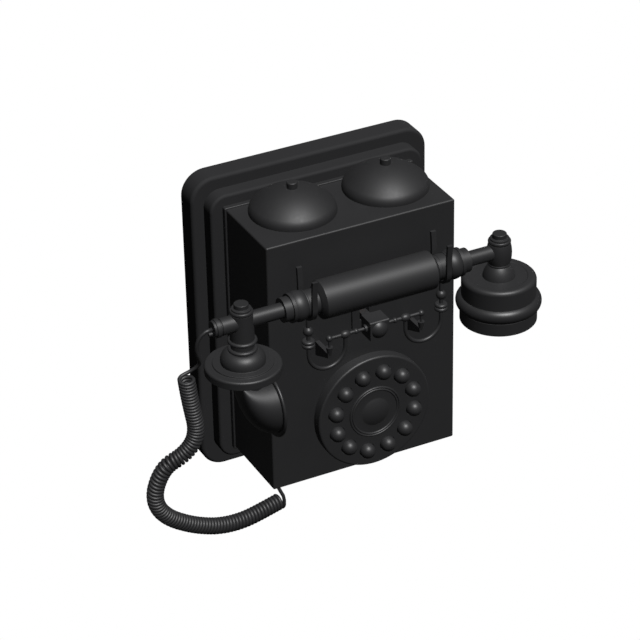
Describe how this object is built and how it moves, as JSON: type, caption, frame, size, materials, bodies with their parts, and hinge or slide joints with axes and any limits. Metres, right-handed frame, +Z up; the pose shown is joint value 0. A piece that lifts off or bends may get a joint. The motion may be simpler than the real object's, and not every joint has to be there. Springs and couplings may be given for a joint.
{
  "type": "wall telephone",
  "caption": "Black wall telephone on a stepped backboard with a ring of push keys, twin gongs on the roof, and a bar handset with a horn mouthpiece lying in a fork cradle, on a curly cord",
  "frame": {"origin": "centre of the backboard's back face, where it lies on the wall", "axes": "+Z up, +Y into the wall, front towards -Y, +X to the right as seen from the front"},
  "size_m": [0.2872, 0.1376, 0.2442],
  "materials": {
    "satin_black_plastic": "satin",
    "black_lacquered_metal": "satin",
    "gloss_black_key": "gloss",
    "black_rubber": "matte",
    "zinc_screw": "plated",
    "ringer_steel": "satin",
    "copper_winding": "varnished",
    "board_laminate": "matte",
    "grey_plastic": "matte"
  },
  "bodies": {
    "case": {"backboard": "satin_black_plastic", "case_screws": "zinc_screw", "case_shell": "satin_black_plastic", "centre_cap": "satin_black_plastic", "circuit_board": "board_laminate", "cord_grommet": "black_rubber", "cradle_bracket_left": "black_lacquered_metal", "cradle_bracket_right": "black_lacquered_metal", "cradle_plate": "black_lacquered_metal", "dial_cup": "satin_black_plastic", "dial_face": "satin_black_plastic", "dial_screws": "zinc_screw", "gong_left": "black_lacquered_metal", "gong_nuts": "black_lacquered_metal", "gong_posts": "black_lacquered_metal", "gong_right": "black_lacquered_metal", "handset_cord": "black_rubber", "hook_spring": "ringer_steel", "hook_switch": "grey_plastic", "key_mat": "black_rubber", "keypad_board": "board_laminate", "mounting_panel": "satin_black_plastic", "panel_screws": "zinc_screw", "ringer_coils": "copper_winding", "ringer_frame": "ringer_steel", "ringer_screws": "zinc_screw"},
    "cradle": {"cradle_block": "black_lacquered_metal", "cradle_rods": "black_lacquered_metal", "cradle_arm_left": "black_lacquered_metal", "cradle_arm_right": "black_lacquered_metal"},
    "handset": {"handset_grip": "satin_black_plastic", "handset_tube": "black_lacquered_metal", "handset_collars": "satin_black_plastic", "mouth_stem": "satin_black_plastic", "ear_stem": "satin_black_plastic", "stem_caps": "satin_black_plastic", "cord_inlet": "satin_black_plastic", "mouth_flange": "satin_black_plastic", "mouth_horn": "satin_black_plastic", "transmitter_capsule": "grey_plastic", "receiver_cup": "satin_black_plastic", "receiver_band": "satin_black_plastic", "ear_cap": "satin_black_plastic", "receiver_capsule": "grey_plastic"},
    "hook": {"hook_lever": "ringer_steel"},
    "ringer": {"ringer_armature": "ringer_steel", "clapper": "ringer_steel"},
    "key_01": {"key_01": "gloss_black_key"},
    "key_02": {"key_02": "gloss_black_key"},
    "key_03": {"key_03": "gloss_black_key"},
    "key_04": {"key_04": "gloss_black_key"},
    "key_05": {"key_05": "gloss_black_key"},
    "key_06": {"key_06": "gloss_black_key"},
    "key_07": {"key_07": "gloss_black_key"},
    "key_08": {"key_08": "gloss_black_key"},
    "key_09": {"key_09": "gloss_black_key"},
    "key_10": {"key_10": "gloss_black_key"},
    "key_11": {"key_11": "gloss_black_key"},
    "key_12": {"key_12": "gloss_black_key"}
  },
  "joints": [
    {"name": "cradle_hook", "type": "slide", "parent": "case", "child": "cradle", "axis": [0, 0, 1], "range_m": [0, 0.004], "stiffness_N_per_m": 100, "springref_m": 0.014},
    {"name": "handset_lift", "type": "slide", "parent": "cradle", "child": "handset", "axis": [0, 0, 1], "range_m": [0, 0.09], "deforming": ["handset_cord"]},
    {"name": "hook_lever_tilt", "type": "hinge", "parent": "case", "child": "hook", "pos_m": [0.025, -0.081, 0.0221], "axis": [0, 1, 0], "range_deg": [0, 8.03], "deforming": ["hook_spring"]},
    {"name": "clapper_rock", "type": "hinge", "parent": "case", "child": "ringer", "pos_m": [0, -0.0585, 0.0675], "axis": [0, 1, 0], "range_deg": [-3, 3], "stiffness_Nm_per_rad": 0.02},
    {"name": "key_01_press", "type": "slide", "parent": "case", "child": "key_01", "axis": [0, 1, 0], "range_m": [0, 0.0016], "stiffness_N_per_m": 300, "springref_m": -0.001, "deforming": ["key_mat"]},
    {"name": "key_02_press", "type": "slide", "parent": "case", "child": "key_02", "axis": [0, 1, 0], "range_m": [0, 0.0016], "stiffness_N_per_m": 300, "springref_m": -0.001},
    {"name": "key_03_press", "type": "slide", "parent": "case", "child": "key_03", "axis": [0, 1, 0], "range_m": [0, 0.0016], "stiffness_N_per_m": 300, "springref_m": -0.001},
    {"name": "key_04_press", "type": "slide", "parent": "case", "child": "key_04", "axis": [0, 1, 0], "range_m": [0, 0.0016], "stiffness_N_per_m": 300, "springref_m": -0.001},
    {"name": "key_05_press", "type": "slide", "parent": "case", "child": "key_05", "axis": [0, 1, 0], "range_m": [0, 0.0016], "stiffness_N_per_m": 300, "springref_m": -0.001},
    {"name": "key_06_press", "type": "slide", "parent": "case", "child": "key_06", "axis": [0, 1, 0], "range_m": [0, 0.0016], "stiffness_N_per_m": 300, "springref_m": -0.001},
    {"name": "key_07_press", "type": "slide", "parent": "case", "child": "key_07", "axis": [0, 1, 0], "range_m": [0, 0.0016], "stiffness_N_per_m": 300, "springref_m": -0.001},
    {"name": "key_08_press", "type": "slide", "parent": "case", "child": "key_08", "axis": [0, 1, 0], "range_m": [0, 0.0016], "stiffness_N_per_m": 300, "springref_m": -0.001},
    {"name": "key_09_press", "type": "slide", "parent": "case", "child": "key_09", "axis": [0, 1, 0], "range_m": [0, 0.0016], "stiffness_N_per_m": 300, "springref_m": -0.001},
    {"name": "key_10_press", "type": "slide", "parent": "case", "child": "key_10", "axis": [0, 1, 0], "range_m": [0, 0.0016], "stiffness_N_per_m": 300, "springref_m": -0.001},
    {"name": "key_11_press", "type": "slide", "parent": "case", "child": "key_11", "axis": [0, 1, 0], "range_m": [0, 0.0016], "stiffness_N_per_m": 300, "springref_m": -0.001},
    {"name": "key_12_press", "type": "slide", "parent": "case", "child": "key_12", "axis": [0, 1, 0], "range_m": [0, 0.0016], "stiffness_N_per_m": 300, "springref_m": -0.001}
  ],
  "couplings": [
    {"joint": "hook_lever_tilt", "follows": "cradle_hook", "rad_per_m": 35}
  ]
}
